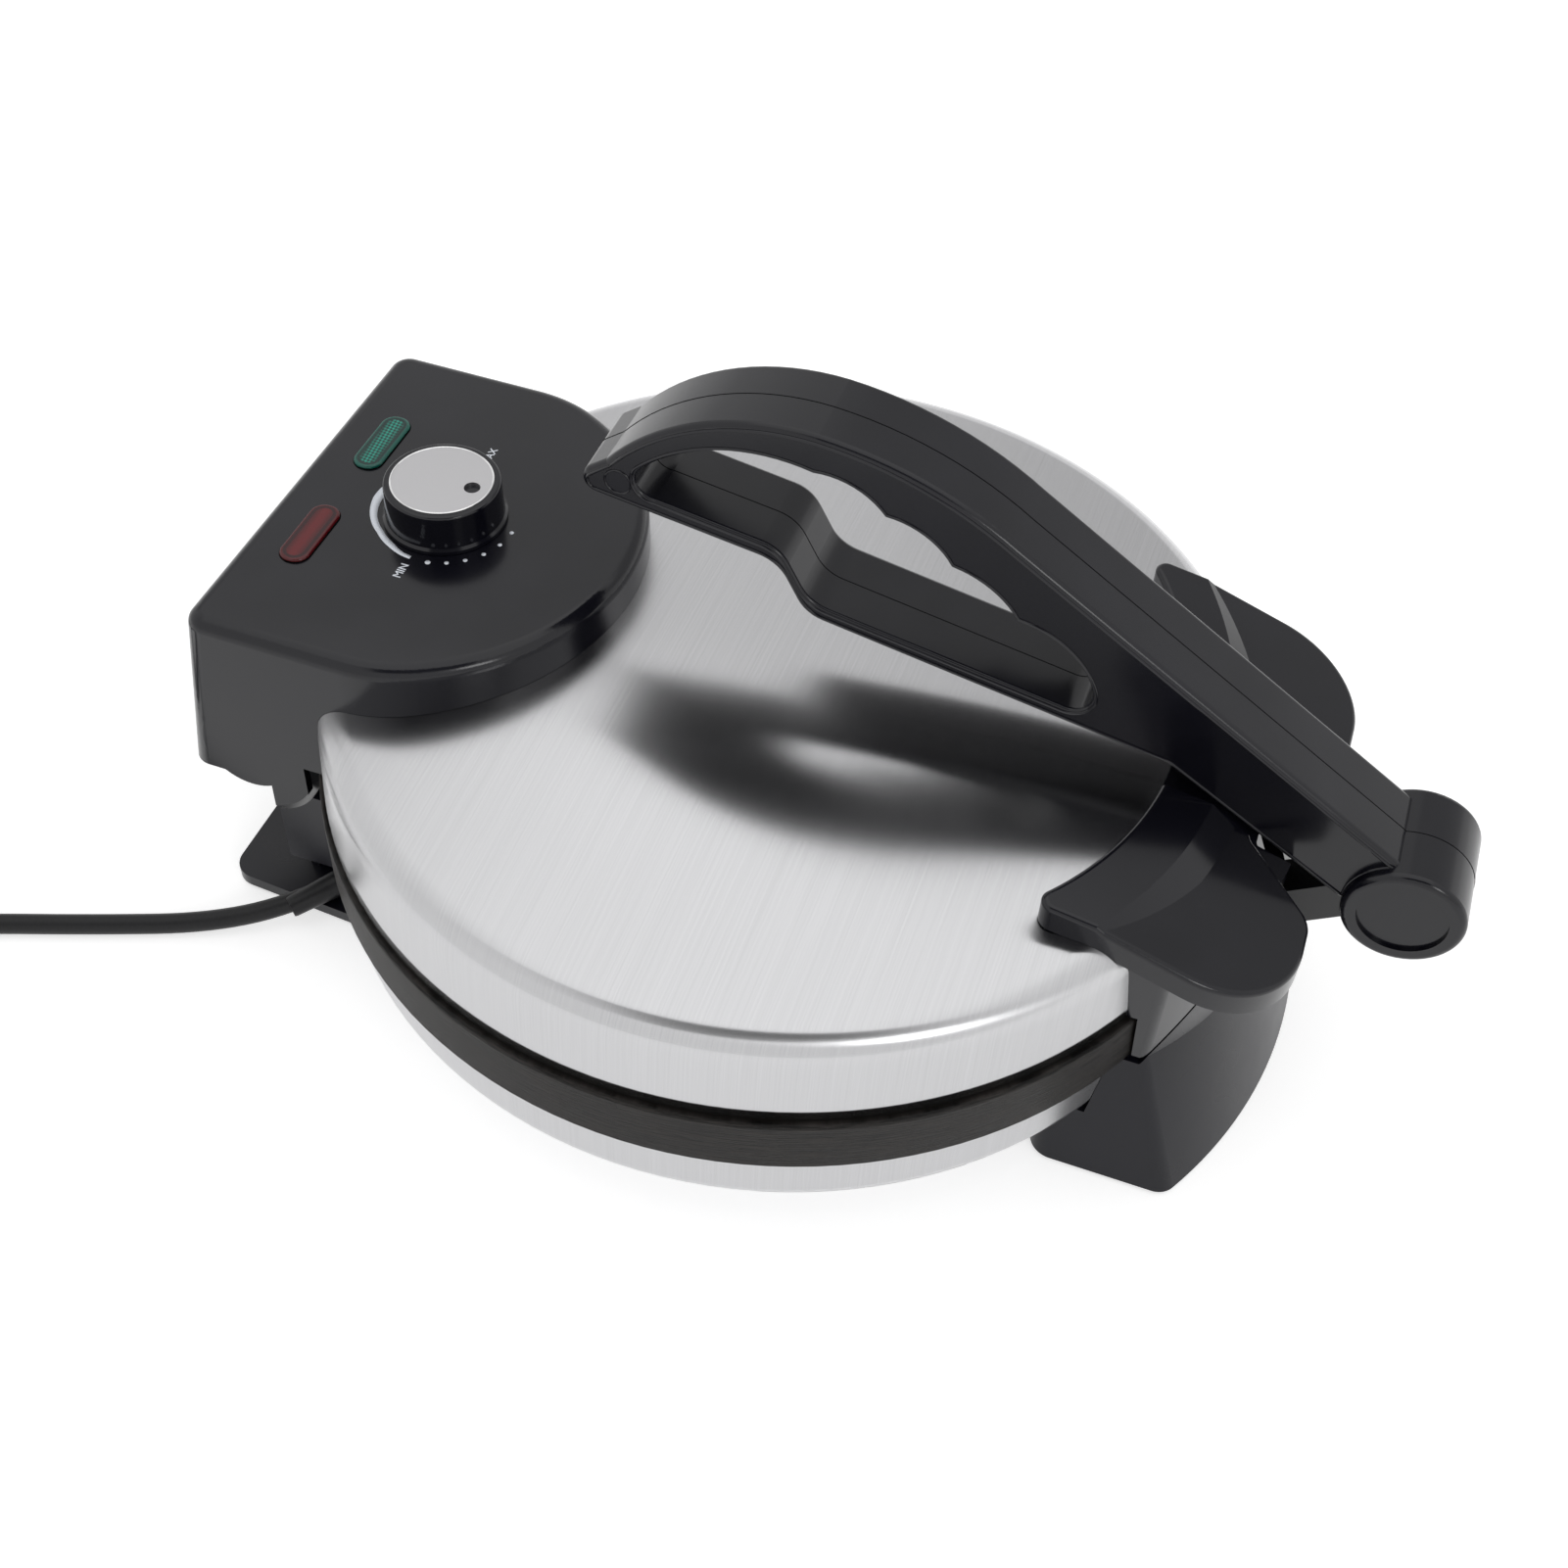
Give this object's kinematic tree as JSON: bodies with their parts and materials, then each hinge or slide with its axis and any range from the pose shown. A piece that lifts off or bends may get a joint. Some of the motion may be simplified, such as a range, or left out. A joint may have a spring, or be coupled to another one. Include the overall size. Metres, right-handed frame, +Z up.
{
  "type": "electric roti maker",
  "caption": "Round two-plate electric flatbread press with a hinged steel lid, thermostat box and fold-over pressing lever.",
  "frame": {"origin": "on the table, under the middle of the appliance's own length and width, the cord left out", "axes": "+Z up; -Y is the front, where the lever is pivoted; +Y is the rear, with the lid hinge and control box; +X is the side of the green lamp"},
  "size_m": [0.3068, 0.6163, 0.2032],
  "materials": {
    "steel_cover": "soft brushed stainless steel",
    "zinc_steel": "plain zinc-plated steel",
    "coated_plate": "cast aluminium with dark non-stick coating",
    "heater_sheath": "dull sheathed element",
    "black_moulding": "glossy black phenolic moulding",
    "bright_disc": "spun bright disc",
    "soft_rubber": "matt black rubber",
    "pin_steel": "machined steel",
    "red_lens": "clear red lens",
    "green_lens": "ribbed green lens",
    "lamp_glass": "small neon lamp",
    "cord_black": "soft black flexible sheath",
    "pin_brass": "nickel-plated brass",
    "white_block": "moulded terminal block"
  },
  "bodies": {
    "base": {"base_shell": "steel_cover", "bottom_cover": "zinc_steel", "base_screws": "zinc_steel", "lower_plate": "coated_plate", "lower_heater": "heater_sheath", "lower_heat_shield": "zinc_steel", "lower_shield_nut": "zinc_steel", "front_housing": "black_moulding", "rear_housing": "black_moulding", "rubber_feet": "soft_rubber", "hinge_pins": "pin_steel", "cord_gland": "cord_black", "terminal_block": "white_block", "mains_cord": "cord_black", "cord_coil": "cord_black", "plug_body": "cord_black", "plug_pins": "pin_brass"},
    "lid": {"lid_cover": "steel_cover", "upper_plate": "coated_plate", "upper_heater": "heater_sheath", "upper_heat_shield": "zinc_steel", "upper_shield_nut": "zinc_steel", "control_housing": "black_moulding", "red_lens": "red_lens", "green_lens": "green_lens", "neon_lamps": "lamp_glass", "thermostat": "zinc_steel", "front_bracket": "black_moulding", "link_pin": "pin_steel"},
    "link": {"link": "pin_steel"},
    "lever": {"lever_near_half": "black_moulding", "lever_far_half": "black_moulding", "barrel_caps": "black_moulding", "lever_pin": "pin_steel", "lever_screws": "zinc_steel", "screw_plugs": "black_moulding", "press_pad": "soft_rubber"},
    "knob": {"knob_body": "black_moulding", "knob_disc": "bright_disc", "thermostat_shaft": "pin_steel"}
  },
  "joints": [
    {"name": "lid_hinge", "type": "hinge", "parent": "base", "child": "lid", "pos_m": [0, 0.1775, 0.07], "axis": [-1, 0, 0], "range_deg": [0, 86]},
    {"name": "link_pivot", "type": "hinge", "parent": "lid", "child": "link", "pos_m": [0, -0.141, 0.055], "axis": [1, 0, 0], "range_deg": [0, 35]},
    {"name": "lever_pivot", "type": "hinge", "parent": "link", "child": "lever", "pos_m": [0, -0.1813, 0.0836], "axis": [1, 0, 0], "range_deg": [0, 120]},
    {"name": "thermostat_turn", "type": "hinge", "parent": "lid", "child": "knob", "pos_m": [0, 0.1375, 0.123], "axis": [0, 0, -1], "range_deg": [0, 270]}
  ]
}
